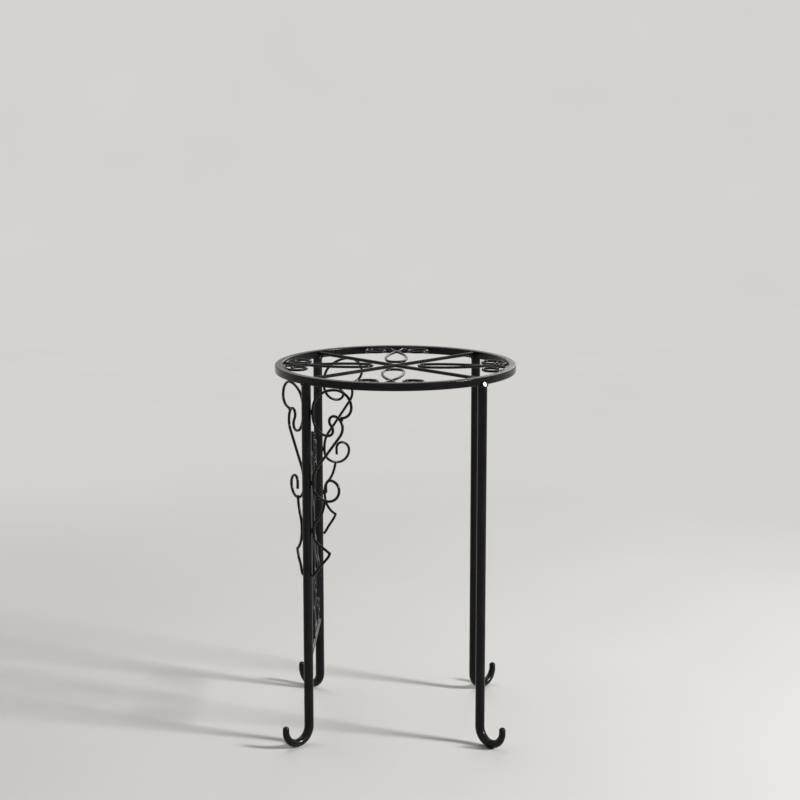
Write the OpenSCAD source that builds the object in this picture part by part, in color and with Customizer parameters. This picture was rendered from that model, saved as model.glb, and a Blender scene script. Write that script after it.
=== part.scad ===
// Tall plant rack: a round steel ring on four bent-bar legs, with a scrollwork tray inside the
// ring, scroll wings under it at the two left legs and a scroll panel between those legs.
// Origin on the floor under the middle of the ring, +Z up, the front towards -Y.

/* [Ring] */
// Outside diameter of the top ring
ring_od = 310; // [280:1:360]
// Radial width of the ring's bar
ring_w = 9.5; // [8:0.5:12]
// Height of the ring's bar
ring_h = 10; // [8:0.5:14]
// Rounding of the ring bar's corners
ring_corner_r = 1.5; // [0.5:0.25:3]
// Height of the ring's top face above the floor
stand_h = 476; // [440:1:600]

/* [Legs] */
// Diameter of the bar that the legs are bent from
leg_d = 12; // [9:0.5:14]
// Angle of the front legs, seen from above, from the line that runs left to right
front_leg_angle = 43.5; // [40:0.5:48]
// Radius of the foot's bend, to the middle of the bar
foot_bend_r = 19; // [15:0.5:25]
// Diameter that the bar is drawn down to at the foot's tip
foot_tip_d = 8.3; // [6:0.1:9]
// Straight rise of the foot's tip past the bend
foot_rise = 3; // [1:0.5:10]
// Leg of the fillet weld round each leg's top
leg_weld = 1.8; // [1:0.1:3]

/* [Tray] */
// Diameter of the two crossing rods
rod_d = 4.5; // [3:0.25:6]
// Diameter of the wire that all the scrolls are bent from
wire_d = 3.5; // [2.5:0.25:4]
// Depth of the tray's rods and wires below the ring's top, to their middle
tray_drop = 3.5; // [3:0.25:5]
// Half width of a ribbon at its widest
ribbon_half_w = 13.5; // [10:0.5:18]
// Distance of a ribbon's widest place from the tray's middle
ribbon_wide_at = 58; // [50:1:70]
// Distance of a ribbon's round tip from the tray's middle
ribbon_tip_at = 30; // [24:1:36]
// Distance inside the ring at which a ribbon crosses itself
ribbon_cross_in = 30.5; // [26:0.5:34]
// Distance from a ribbon's middle line at which its wire meets the ring
coil_touch = 18; // [14:0.5:22]
// Distance of a coil's far side from its ribbon's middle line
coil_far = 41.5; // [38:0.5:46]
// Distance of a coil's near side from its ribbon's middle line
coil_near = 16; // [13:0.5:18]
// Distance that a coil reaches inside the ring
coil_depth = 33.5; // [30:0.5:36]

/* [Scroll wings] */
// Angle by which the front wing turns inwards from the ring's tangent at its leg
wing_turn_front = 18.5; // [12:0.5:22]
// Angle by which the left wing turns inwards
wing_turn_left = 15; // [10:0.5:20]
// Angle by which the rear wing turns inwards
wing_turn_rear = 16; // [12:0.5:20]
// Reach of the front wing's big loop, from the leg's middle to the middle of the wire
loop_reach_front = 64.5; // [61:0.5:70]
// Reach of the left wing's big loop
loop_reach_left = 69; // [61:0.5:70]
// Reach of the rear wing's big loop
loop_reach_rear = 66.5; // [61:0.5:70]
// Drop of the front wing's small hook below the ring
hook_drop_front = 62.5; // [59:0.5:65]
// Drop of the left wing's small hook
hook_drop_left = 63.5; // [59:0.5:65]
// Drop of the rear wing's small hook
hook_drop_rear = 60; // [59:0.5:65]
// Reach of the strand where it passes the small hook
strand_reach = 52; // [50:0.5:54]
// Width of the weld between a leg and the wing's wire that runs up it
weld_gap = 1.5; // [0:0.25:1.75]
// Reach of the curl under the strand
curl_reach = 46.5; // [43:0.5:50]
// Drop of the front curl's lowest bend below the ring
curl_drop_front = 145.5; // [140:0.5:152]
// Drop of the left curl's lowest bend
curl_drop_left = 149; // [140:0.5:152]
// Drop of the rear curl's lowest bend
curl_drop_rear = 146.5; // [140:0.5:152]
// Reach of the front tail's sharp corner
corner_reach_front = 32.5; // [28:0.5:38]
// Drop of the front tail's sharp corner below the ring
corner_drop_front = 212; // [206:1:222]
// Reach of the left tail's sharp corner
corner_reach_left = 22.5; // [20:0.5:36]
// Drop of the left tail's sharp corner
corner_drop_left = 214; // [206:1:222]
// Reach of the rear tail's sharp corner
corner_reach_rear = 25.5; // [24:0.5:36]
// Drop of the rear tail's sharp corner
corner_drop_rear = 219; // [206:1:222]
// Drop of the tails' lower ends below the ring
tail_drop = 244; // [236:1:260]

/* [Side panel] */
// Height of the lower rail's middle above the floor
rail_z = 104; // [90:1:120]
// Diameter of the lower rail
rail_d = 6; // [5:0.5:8]
// Height of the panel's middle stem above the rail
stem_h = 278; // [276:1:290]
// Diameter of the ball on top of the stem
ball_d = 8; // [6:0.5:12]
// Height above the rail at which the big scrolls meet the stem
scroll_meet_h = 168; // [160:1:176]
// Reach of a big scroll's top curl from the stem's middle
top_curl_reach = 54; // [50:1:60]
// Height of the top curl above the rail
top_curl_h = 262; // [256:1:270]
// Reach of a heart's lobe from the stem's middle
heart_reach = 30; // [26:1:34]
// Height of the heart's lobe above the rail
heart_h = 92; // [86:1:100]

/* [Hidden] */
$fn = 48;

FRONT_LEFT = 180 + front_leg_angle;
FRONT_RIGHT = 360 - front_leg_angle;
REAR_RIGHT = 45;
REAR_LEFT = 135;
// Azimuths of the tray's ribbons, which sit a degree or two off square
RIBBON_FRONT = 268;
RIBBON_RIGHT = 359;
RIBBON_REAR = 90;
RIBBON_LEFT = 178;
STEEL = "#1c1c1d";

wire_r = wire_d / 2;
rod_r = rod_d / 2;
leg_r = leg_d / 2;
tip_r = foot_tip_d / 2;
rail_r = rail_d / 2;
ring_ir = ring_od / 2 - ring_w;
leg_circle_r = (ring_od - ring_w) / 2;
ring_under_z = stand_h - ring_h;
tray_z = stand_h - tray_drop;

// Small clearance that keeps two round surfaces from cutting into each other
CLEAR = 0.1;
// Length of the straight that a wire has where it is welded to a leg or the stem
STRAIGHT = 6;

// Round bars and wires are swept as skins of flat faces: the feet with BAR_SIDES round the bar
// and a ring of points every BEND_STEP degrees, the wires with WIRE_SIDES and WIRE_STEP
BAR_SIDES = 20;
BEND_STEP = 15;
WIRE_SIDES = 8;
WIRE_STEP = 24;

function unit(a) = [cos(a), sin(a)];

// Faces of a swept skin of n rings with s points each, closed flat at both ends
function skin_faces(n, s) = concat(
    [for (i = [0:n - 2], j = [0:s - 1], k = [0, 1]) let (a = i * s + j, b = i * s + (j + 1) % s)
        (k == 0) ? [a, b + s, b] : [a, a + s, b + s]],
    [[for (j = [0:s - 1]) j]], [[for (j = [s - 1:-1:0]) (n - 1) * s + j]]);

// Wires are chains of true arcs. A knot is [x, y, heading in degrees]; two arcs of equal reach
// join each knot to the next, so that the wire leaves and arrives along the headings.
function point(k) = [k[0], k[1]];
function reach(v, t, c) = abs(1 - c) < 1e-9
    ? (v * v) / (2 * (v * t))
    : (sqrt((v * t) * (v * t) + 2 * (1 - c) * (v * v)) - v * t) / (2 * (1 - c));
function middle(p, t0, q, t1) = let (d = reach(q - p, t0 + t1, t0 * t1))
    (p + d * t0 + q - d * t1) / 2;
// The angle that an arc from p along heading h turns through on its way to q
function turn(p, h, q) = let (v = q - p) 2 * atan2(unit(h + 90) * v, unit(h) * v);
// Places [x, y, heading] along one arc, its start left out
function arc_places(p, h, q) = let (a = turn(p, h, q), n = max(1, ceil(abs(a) / WIRE_STEP)),
    r = norm(q - p) / (2 * sin(abs(a) / 2)), side = sign(a) * unit(h + 90), c = p + r * side)
    abs(a) < 0.01 ? [[q[0], q[1], h]]
    : [for (i = [1:n]) let (b = h + a * i / n, m = c - r * sign(a) * unit(b + 90))
        [m[0], m[1], b]];
function places(knots) = concat([knots[0]], [for (i = [0:len(knots) - 2])
    let (p = point(knots[i]), q = point(knots[i + 1]), h = knots[i][2],
        m = middle(p, unit(h), q, unit(knots[i + 1][2])))
    each concat(arc_places(p, h, m), arc_places(m, h + turn(p, h, m), q))]);
function mirrored(knots) = [for (k = knots) [-k[0], k[1], 180 - k[2]]];

// A wire bent flat in the XY plane along its knots
module wire(knots) {
    path = places(knots);
    points = [for (k = path, j = [0:WIRE_SIDES - 1]) let (t = 360 * j / WIRE_SIDES,
        side = wire_r * cos(t) * unit(k[2] + 90)) [k[0] + side[0], k[1] + side[1],
        wire_r * sin(t)]];
    polyhedron(points, skin_faces(len(path), WIRE_SIDES));
}

// Stands a flat drawing upright in a plane through a leg's middle line: the drawing's x runs
// outwards from the leg along the azimuth, its y runs up from the ring's underside
module at_leg(leg, azimuth) {
    translate([leg_circle_r * cos(leg), leg_circle_r * sin(leg), ring_under_z])
        rotate([0, 0, azimuth]) rotate([90, 0, 0]) children();
}

// Two weld beads between a leg and a wire that runs up it with its middle at a distance d from
// the leg's, centred at height y: each bead touches both bars
bead_r = 1;
function bead_angle(d) = acos((d * d + pow(leg_r + bead_r, 2) - pow(wire_r + bead_r, 2))
    / (2 * d * (leg_r + bead_r)));
module bead_pair(d, y) {
    for (side = [-1, 1]) rotate([-90, side * bead_angle(d), 0])
        translate([leg_r + bead_r, 0, y - STRAIGHT / 2])
            cylinder(h = STRAIGHT, r = bead_r - CLEAR);
}

/* ring */
module ring() {
    r = ring_corner_r;
    color(STEEL) translate([0, 0, ring_under_z]) rotate_extrude($fn = 180)
        translate([ring_ir, 0]) union() {
            translate([r, 0]) square([ring_w - 2 * r, ring_h]);
            translate([0, r]) square([ring_w, ring_h - 2 * r]);
            for (x = [r, ring_w - r], y = [r, ring_h - r])
                translate([x, y]) circle(r = r);
        }
}

/* tray */
// A rod along an azimuth, between two distances from the middle, its ends shaped to the ring
module tray_rod(azimuth, from, to) {
    color(STEEL) intersection() {
        rotate([0, 0, azimuth]) translate([from, 0, tray_z]) rotate([0, 90, 0])
            cylinder(h = to - from, r = rod_r);
        translate([0, 0, ring_under_z]) cylinder(h = ring_h, r = ring_ir, $fn = 180);
    }
}

// Half of a tray scroll: from the ribbon's tip over its side and its crossing to the ring, and
// round the coil to its blunt end
touch_r = ring_ir - wire_r;
touch_turn = asin(coil_touch / touch_r);
tray_half = [[0, ribbon_tip_at, 0], [ribbon_half_w, ribbon_wide_at, 90],
    [0, ring_ir - ribbon_cross_in, 118],
    [-coil_touch, touch_r * cos(touch_turn), 180 + touch_turn],
    [-coil_far, ring_ir - 21.5, 270], [1 - (coil_far + coil_near) / 2, ring_ir - coil_depth, 0],
    [-coil_near, ring_ir - 24.5, 90], [-coil_near - 9, ring_ir - 14, 180]];

module tray_scroll(azimuth) {
    color(STEEL) translate([0, 0, tray_z]) rotate([0, 0, azimuth - 90]) {
        wire(tray_half);
        wire(mirrored(tray_half));
    }
}

/* legs */
// Radius of the bar after a degrees of the foot's bend, drawn down towards the tip; it starts
// just inside the straight bar, which it enters by SLEEVE
foot_r = leg_r - CLEAR / 2;
SLEEVE = 2;
function bar_r(a) = foot_r - (foot_r - tip_r) * pow(a / 180, 1.5);
bend_angles = [for (a = [0:BEND_STEP:180]) a];
// Height of the bend's middle at which its underside just meets the floor
bend_z = max([for (a = bend_angles) (foot_bend_r + bar_r(a)) * sin(a)]);
TIP_ANGLES = [0, 25, 50, 70, 84];

function sleeve_ring() = [for (p = bend_ring(0)) p + [0, 0, SLEEVE]];
function bend_ring(a) = [for (j = [0:BAR_SIDES - 1]) let (t = 360 * j / BAR_SIDES,
    d = foot_bend_r + bar_r(a) * cos(t))
    [foot_bend_r - d * cos(a), bar_r(a) * sin(t), bend_z - d * sin(a)]];
function tip_ring(b) = [for (j = [0:BAR_SIDES - 1]) let (t = 360 * j / BAR_SIDES,
    r = tip_r * cos(b))
    [2 * foot_bend_r + r * cos(t), r * sin(t), bend_z + foot_rise + tip_r * sin(b)]];

// The swept foot, from the leg's middle line at x = 0 outwards to the round tip
module foot() {
    rings = concat([sleeve_ring()], [for (a = bend_angles) bend_ring(a)],
        [for (b = TIP_ANGLES) tip_ring(b)]);
    polyhedron([for (r = rings, p = r) p], skin_faces(len(rings), BAR_SIDES));
}

module leg(azimuth) {
    color(STEEL) rotate([0, 0, azimuth]) translate([leg_circle_r, 0, 0]) {
        translate([0, 0, bend_z]) cylinder(h = ring_under_z - bend_z, r = leg_r);
        foot();
    }
}

// Fillet welds round the tops of the legs, where they lie under the ring
module leg_welds() {
    color(STEEL) for (azimuth = [FRONT_LEFT, FRONT_RIGHT, REAR_LEFT, REAR_RIGHT])
        intersection() {
            rotate([0, 0, azimuth]) translate([leg_circle_r, 0, ring_under_z - leg_weld])
                rotate_extrude() translate([leg_r, 0])
                    polygon([[0, 0], [leg_weld, leg_weld], [0, leg_weld]]);
            translate([0, 0, ring_under_z - leg_weld]) difference() {
                cylinder(h = leg_weld, r = ring_od / 2 - ring_corner_r, $fn = 180);
                translate([0, 0, -1])
                    cylinder(h = leg_weld + 2, r = ring_ir + ring_corner_r, $fn = 180);
            }
        }
}

/* scroll wings */
// Distance from a leg's middle to the middle of a wire that touches it, and of a wing's wire
touch = leg_r + wire_r;
seat = touch + weld_gap;

// A wing is a list: its leg, its side of the leg (+1 turns it anticlockwise round the ring, -1
// back), its turn, its loop's reach, its hook's and its curl's lowest heights, its tail's corner,
// and the place where its tail starts, with the distance that the tail lies beside the wing
WING_FRONT = [FRONT_LEFT, 1, wing_turn_front, loop_reach_front, -hook_drop_front,
    -curl_drop_front, [corner_reach_front, -corner_drop_front], under_curl(-curl_drop_front), 0];
WING_LEFT = [FRONT_LEFT, -1, wing_turn_left, loop_reach_left, -hook_drop_left,
    -curl_drop_left, [corner_reach_left, -corner_drop_left], beside_curl(-curl_drop_left),
    wire_d + CLEAR];
WING_REAR = [REAR_LEFT, -1, wing_turn_rear, loop_reach_rear, -hook_drop_rear,
    -curl_drop_rear, [corner_reach_rear, -corner_drop_rear], under_curl(-curl_drop_rear), 0];
WINGS = [WING_FRONT, WING_LEFT, WING_REAR];
LOOP = 3;
HOOK = 4;
LOW = 5;
CORNER = 6;
TAIL = 7;
ASIDE = 8;
module on_wing(w) at_leg(w[0], w[0] + w[1] * (90 + w[2])) children();
function under_curl(low) = [curl_reach - 21, low - wire_r - 2 * CLEAR];
function beside_curl(low) = [curl_reach - 27, low + 4];

// A wing's wire: from the loop's end, which meets the strand, over the big loop and down the leg,
// round the small hook, down the strand to the leg again and round the curl
loop_seat_y = -32;
loop_end = [strand_reach - 6 + 2.4 * wire_r, -38.2];
function strand_seat_y(low) = low + 24;
function wing_knots(loop, hook, low) = [[loop_end[0], loop_end[1], 0],
    [loop, -24, 90], [loop - 22, -4.2, 180],
    [seat, loop_seat_y, 270], [seat, loop_seat_y - STRAIGHT, 270],
    [30, hook, 0], [38.2, hook + 7, 90], [33.1, -43.4, 90], [40, -36.9, 0],
    [strand_reach - 5.5, -39.4, 318], [strand_reach, low + 95, 270],
    [strand_reach - 4.4, low + 83, 232], [strand_reach - 21.6, low + 61, 232],
    [seat, strand_seat_y(low), 270], [seat, strand_seat_y(low) - STRAIGHT, 270],
    [curl_reach - 16.5, low, 0], [curl_reach, low + 15.3, 90],
    [curl_reach - 12, low + 27, 180], [curl_reach - 19, low + 19, 270],
    [curl_reach - 18.7, low + 11.5, 272]];

// The tail of a wing, from its curl past the leg to the sharp corner, and back to the leg
tail_seat_y = -183;
// Reach at which a wire that lies aside of a leg's middle has its middle a distance d from it
function aside_reach(d, aside) = sqrt(d * d - aside * aside);
function tail_upper(start, corner, aside) = let (x = aside_reach(seat, aside))
    [[start[0], start[1], 261], [start[0] - 3.3, tail_seat_y + 23, 250],
    [x, tail_seat_y, 270], [x, tail_seat_y - STRAIGHT, 270], [corner[0], corner[1], 328]];
function tail_lower(corner, aside) = let (x = aside_reach(touch, aside))
    [[corner[0], corner[1], 250],
    [(corner[0] + x) / 2 + 0.5, (corner[1] - tail_drop) / 2, 230], [x, -tail_drop, 225]];

module wing_scroll(w) {
    color(STEEL) on_wing(w) wire(wing_knots(w[LOOP], w[HOOK], w[LOW]));
}

module wing_tail(w) {
    color(STEEL) on_wing(w) translate([0, 0, -w[ASIDE]]) {
        wire(tail_upper(w[TAIL], w[CORNER], w[ASIDE]));
        wire(tail_lower(w[CORNER], w[ASIDE]));
    }
}

// Beads beside the leg at each seat, and one in the notch under each loop's end
module wing_welds() {
    color(STEEL) for (w = WINGS) on_wing(w) {
        for (y = [loop_seat_y, strand_seat_y(w[LOW])]) bead_pair(seat, y - STRAIGHT / 2);
        rotate([0, asin(w[ASIDE] / seat), 0]) bead_pair(seat, tail_seat_y - STRAIGHT / 2);
        translate([strand_reach - 0.2, loop_end[1] - wire_r - bead_r, 0])
            cylinder(h = wire_d, r = bead_r - CLEAR, center = true);
    }
}

/* side panel */
left_front = leg_circle_r * unit(FRONT_LEFT);
left_rear = leg_circle_r * unit(REAR_LEFT);
panel_middle = (left_front + left_rear) / 2;
panel_way = left_rear - left_front;
PANEL_AZIMUTH = atan2(panel_way[1], panel_way[0]);
// Half the way between the two left legs' middles
half_gap = norm(panel_way) / 2;
// Stands a flat drawing upright between the left legs: its x runs to the rear or to the front,
// its y runs up from the rail's middle
module on_panel(hand) {
    translate([panel_middle[0], panel_middle[1], rail_z])
        rotate([0, 0, PANEL_AZIMUTH]) rotate([90, 0, 0]) scale_x(hand) children();
}
module scale_x(hand) {
    if (hand > 0) children();
    else mirror([1, 0, 0]) children();
}

module side_rail() {
    color(STEEL) on_panel(1) difference() {
        rotate([0, 90, 0]) cylinder(h = 2 * half_gap, r = rail_r, center = true);
        for (side = [-1, 1]) translate([side * half_gap, 0, 0]) rotate([90, 0, 0])
            cylinder(h = 4 * rail_d, r = leg_r, center = true);
    }
}

module side_stem() {
    color(STEEL) on_panel(1) difference() {
        union() {
            rotate([-90, 0, 0]) cylinder(h = stem_h, r = wire_r);
            translate([0, stem_h, 0]) sphere(d = ball_d);
        }
        rotate([0, 90, 0]) cylinder(h = 4 * rail_d, r = rail_r, center = true);
    }
}

leg_side = half_gap - touch;
stem_side = wire_d + CLEAR / 2;
rail_side = rail_r + wire_r;
scroll_seat_y = 62;
// One big scroll, from its top curl past the stem and the leg to the curl on the rail
side_knots = [[top_curl_reach - 11, top_curl_h - 20, 260],
    [top_curl_reach - 18, top_curl_h - 28, 180], [top_curl_reach - 30, top_curl_h - 15, 90],
    [top_curl_reach - 16, top_curl_h, 0], [top_curl_reach, top_curl_h - 19, 270],
    [(top_curl_reach + stem_side) / 2, (top_curl_h + scroll_meet_h) / 2 - 12, 228],
    [stem_side, scroll_meet_h + STRAIGHT / 2, 270],
    [stem_side, scroll_meet_h - STRAIGHT / 2, 270],
    [(leg_side + stem_side) / 2, (scroll_meet_h + scroll_seat_y) / 2, 308],
    [leg_side, scroll_seat_y, 270], [leg_side, scroll_seat_y - STRAIGHT, 270],
    [leg_side - 21, rail_side, 180], [leg_side - 40, rail_side + 18, 90],
    [leg_side - 27, rail_side + 32, 0], [leg_side - 18.5, rail_side + 22, 270],
    [leg_side - 21, rail_side + 12, 250]];
heart_seat_y = 24;
heart_knots = [[stem_side, heart_seat_y - STRAIGHT / 2, 90],
    [stem_side, heart_seat_y + STRAIGHT / 2, 90], [heart_reach, heart_h - 18, 90],
    [heart_reach - 11, heart_h, 180], [heart_reach - 20.5, heart_h - 10, 270],
    [heart_reach - 15, heart_h - 18, 350]];

module side_scroll(hand) {
    color(STEEL) on_panel(hand) wire(side_knots);
}

module side_heart(hand) {
    color(STEEL) on_panel(hand) wire(heart_knots);
}

module side_welds() {
    color(STEEL) for (leg = [FRONT_LEFT, REAR_LEFT])
        at_leg(leg, PANEL_AZIMUTH + ((leg == FRONT_LEFT) ? 0 : 180))
            bead_pair(touch, rail_z + scroll_seat_y - STRAIGHT / 2 - ring_under_z);
}

ring();
tray_rod(REAR_RIGHT, -ring_ir - 1, ring_ir + 1);  // cross_rod_long
tray_rod(FRONT_RIGHT, rod_r, ring_ir + 1);  // cross_rod_front_right
tray_rod(REAR_LEFT, rod_r, ring_ir + 1);  // cross_rod_rear_left
tray_scroll(RIBBON_FRONT);  // tray_scroll_front
tray_scroll(RIBBON_RIGHT);  // tray_scroll_right
tray_scroll(RIBBON_REAR);  // tray_scroll_rear
tray_scroll(RIBBON_LEFT);  // tray_scroll_left
leg(FRONT_LEFT);  // leg_front_left
leg(FRONT_RIGHT);  // leg_front_right
leg(REAR_LEFT);  // leg_rear_left
leg(REAR_RIGHT);  // leg_rear_right
leg_welds();
wing_scroll(WING_FRONT);  // wing_scroll_front
wing_scroll(WING_LEFT);  // wing_scroll_left
wing_scroll(WING_REAR);  // wing_scroll_rear
wing_tail(WING_FRONT);  // wing_tail_front
wing_tail(WING_LEFT);  // wing_tail_left
wing_tail(WING_REAR);  // wing_tail_rear
wing_welds();
side_rail();
side_stem();
side_scroll(-1);  // side_scroll_front
side_scroll(1);  // side_scroll_rear
side_heart(-1);  // side_heart_front
side_heart(1);  // side_heart_rear
side_welds();
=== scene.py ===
"""Tall plant rack: black powder-coated steel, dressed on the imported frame.

Every round bar, wire, weld and the ring are surfaces worked out with numpy: a profile carried
along a path of true arcs.  Lengths in this file are millimetres until they reach a mesh.
"""
import math
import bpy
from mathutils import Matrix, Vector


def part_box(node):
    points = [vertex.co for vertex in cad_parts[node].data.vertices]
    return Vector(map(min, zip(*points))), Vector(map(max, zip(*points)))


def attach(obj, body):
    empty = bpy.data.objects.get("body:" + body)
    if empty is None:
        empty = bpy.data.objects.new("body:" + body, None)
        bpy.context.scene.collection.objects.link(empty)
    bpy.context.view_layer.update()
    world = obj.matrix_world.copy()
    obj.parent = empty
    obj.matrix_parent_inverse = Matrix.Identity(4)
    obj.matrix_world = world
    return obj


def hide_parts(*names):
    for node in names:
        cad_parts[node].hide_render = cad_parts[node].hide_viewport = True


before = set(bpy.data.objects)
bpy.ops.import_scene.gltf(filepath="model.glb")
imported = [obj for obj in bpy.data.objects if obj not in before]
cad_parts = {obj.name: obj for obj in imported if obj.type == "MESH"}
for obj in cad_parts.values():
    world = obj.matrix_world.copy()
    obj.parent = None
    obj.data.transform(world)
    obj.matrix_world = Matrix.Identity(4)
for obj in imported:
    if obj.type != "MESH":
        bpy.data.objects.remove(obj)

from types import SimpleNamespace
from typing import NamedTuple

import bpy
import numpy as np
from bpy.props import FloatProperty, FloatVectorProperty, IntProperty, PointerProperty

bl_info = {
    "name": "Tall Plant Rack",
    "version": (1, 0, 0),
    "blender": (4, 5, 0),
    "location": "3D View > Sidebar > Plant Rack",
    "description": "Builds a round steel plant rack with scrollwork, piece by piece",
    "category": "Add Mesh",
}

MM = 0.001


class Wing(NamedTuple):
    """One scroll wing: how it stands on its leg, and the sizes of its bends."""
    leg: float  # azimuth of the leg that it is welded to
    hand: int  # its side of the leg, +1 anticlockwise round the ring
    turn: float  # its turn inwards from the ring's tangent
    loop: float  # reach of the big loop
    hook: float  # lowest height of the small hook
    low: float  # lowest height of the curl
    corner: tuple  # reach and height of the tail's sharp corner
    tail: tuple  # the tail's start: its reach, and its height over the curl's lowest
    aside: float  # distance that the tail lies beside the wing


# Azimuths of the legs, seen from above; the front two stand a little wider apart
FRONT_LEFT, FRONT_RIGHT, REAR_RIGHT, REAR_LEFT = 223.5, 316.5, 45.0, 135.0
LEG_ANGLES = {"leg_front_left": FRONT_LEFT, "leg_front_right": FRONT_RIGHT,
              "leg_rear_left": REAR_LEFT, "leg_rear_right": REAR_RIGHT}
# Azimuths of the tray's ribbons, which sit a degree or two off square
RIBBONS = {"front": 268.0, "right": 359.0, "rear": 90.0, "left": 178.0}
# The wings, in the order of a Wing's values.  Heights count from the ring's underside.
WINGS = {"front": Wing(FRONT_LEFT, 1, 18.5, 64.5, -62.5, -145.5, (32.5, -212.0), (25.5, -1.95), 0),
         "left": Wing(FRONT_LEFT, -1, 15.0, 69.0, -63.5, -149.0, (22.5, -214.0), (19.5, 4.0), 3.6),
         "rear": Wing(REAR_LEFT, -1, 16.0, 66.5, -60.0, -146.5, (25.5, -219.0), (25.5, -1.95), 0)}
# Straight length of a wire where it is welded, and the play between two wires side by side
STRAIGHT = 6.0
CLEAR = 0.1


def box_mm(node):
    """The lowest and highest corner of a frame node, in millimetres."""
    low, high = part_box(node)
    return np.array(low) / MM, np.array(high) / MM


RING_BOX = box_mm("ring")
ROD_BOX = box_mm("cross_rod_long")
WIRE_BOX = box_mm("tray_scroll_front")
RAIL_BOX = box_mm("side_rail")
STEM_BOX = box_mm("side_stem")


def linear(hex_colour):
    """An sRGB hex colour such as "1c1c1e" as linear red, green, blue and alpha."""
    srgb = np.array([int(hex_colour[i:i + 2], 16) for i in (0, 2, 4)]) / 255
    low = srgb / 12.92
    high = ((srgb + 0.055) / 1.055) ** 2.4
    return (*np.where(srgb <= 0.04045, low, high).tolist(), 1.0)


def unit(degrees):
    """Unit vectors at headings in degrees, counted anticlockwise from x."""
    a = np.radians(degrees)
    return np.stack([np.cos(a), np.sin(a)], -1)


def arc_path(knots, steps):
    """A flat path of true arcs through knots [x, y, heading in degrees].

    Two arcs of equal reach d join each knot to the next, where d solves
    |q - p - d (t0 + t1)| = 2 d for the unit headings t0 and t1.  On an arc that turns by a
    over the chord c, the place after the share s is c s sinc(a s / 2) / sinc(a / 2) along the
    heading h + a s / 2, and the heading there is h + a s.
    Returns the places, their headings in degrees and the length up to each.
    """
    knots = np.asarray(knots, float)
    p, q = knots[:-1, :2], knots[1:, :2]
    t0, t1 = unit(knots[:-1, 2]), unit(knots[1:, 2])
    v = q - p
    both = np.sum(v * (t0 + t1), 1)
    spread = 1 - np.sum(t0 * t1, 1)
    square = np.sum(v * v, 1)
    flat = spread < 1e-9
    reach = np.where(flat, square / np.where(flat, both, 1),
                     (np.sqrt(both ** 2 + 2 * spread * square) - both)
                     / np.where(flat, 1, 2 * spread))
    middle = (p + reach[:, None] * t0 + q - reach[:, None] * t1) / 2
    start = np.stack([p, middle], 1).reshape(-1, 2)
    end = np.stack([middle, q], 1).reshape(-1, 2)

    def turning(a, heading, b):
        """Turn in degrees of an arc that leaves a at the heading and ends at b."""
        way = b - a
        side = np.sum(unit(heading + 90) * way, 1)
        ahead = np.sum(unit(heading) * way, 1)
        return 2 * np.degrees(np.arctan2(side, ahead))

    first = turning(p, knots[:-1, 2], middle)
    second_heading = knots[:-1, 2] + first
    heading = np.stack([knots[:-1, 2], second_heading], 1).ravel()
    turn = np.stack([first, turning(middle, second_heading, q)], 1).ravel()
    share = np.arange(1, steps + 1) / steps
    half = np.radians(turn) / 2
    chord = np.linalg.norm(end - start, axis=1)
    far = chord[:, None] * share * np.sinc(half[:, None] * share / np.pi) \
        / np.sinc(half[:, None] / np.pi)
    places = start[:, None, :] + far[..., None] * unit(heading[:, None] + turn[:, None] * share / 2)
    headings = heading[:, None] + turn[:, None] * share
    length = (chord / np.sinc(half / np.pi))[:, None] * share
    before = np.concatenate([[0], np.cumsum(length[:, -1])[:-1]])
    return (np.concatenate([knots[:1, :2], places.reshape(-1, 2)]),
            np.concatenate([knots[:1, 2], headings.ravel()]),
            np.concatenate([[0], (before[:, None] + length).ravel()]))


def thinned(path, least):
    """The path with places closer than least to the one before left out, the ends kept."""
    places, headings, length = path
    step = np.floor(length / least)
    keep = np.concatenate([[True], np.diff(step) > 0])
    keep[-1] = True
    gap = length[-1] - length
    keep &= (gap > least * 0.5) | (gap == 0)
    return places[keep], headings[keep], length[keep]


def round_ends(path, radius, bluntness=0.5, steps=5):
    """A path and its radii, with a rounded cut added at both ends.

    Each end is a quarter of a superellipse: past the end by r k sin(b)^(2/3) the radius is
    r cos(b)^(2/3), with b from 0 to a right angle and k the bluntness.
    """
    places, headings, length = path
    power = 2 / 3
    radius = np.broadcast_to(radius, length.shape).astype(float)
    b = np.linspace(0, np.pi / 2, steps + 1)[1:]
    out = np.sin(b) ** power * bluntness
    shrink = np.maximum(np.cos(b), 0) ** power
    shrink[-1] = 0
    head = places[0] - (out * radius[0])[::-1, None] * unit(headings[0])
    tail = places[-1] + (out * radius[-1])[:, None] * unit(headings[-1])
    return (np.concatenate([head, places, tail]),
            np.concatenate([np.full(steps, headings[0]), headings, np.full(steps, headings[-1])]),
            np.concatenate([radius[0] * shrink[::-1], radius, radius[-1] * shrink]))


def tube(places, headings, radii, sides):
    """Round bar along a flat path, as a grid of points.

    A point is the place on the path, plus r cos(t) along the path's left and r sin(t) along
    the drawing's normal.
    """
    t = np.arange(sides) * 2 * np.pi / sides
    left = unit(headings + 90)
    flat = places[:, None, :] + (radii[:, None] * np.cos(t))[..., None] * left[:, None, :]
    depth = radii[:, None] * np.sin(t) + np.zeros_like(places[:, :1])
    return np.concatenate([flat, depth[..., None]], -1)


def place(points, x_axis, y_axis, origin):
    """Drawing points (x, y, depth) in the rack's frame; depth runs along x_axis cross y_axis."""
    x_axis, y_axis = np.asarray(x_axis, float), np.asarray(y_axis, float)
    axes = np.stack([x_axis, y_axis, np.cross(x_axis, y_axis)])
    return points @ axes + np.asarray(origin, float)


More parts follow.
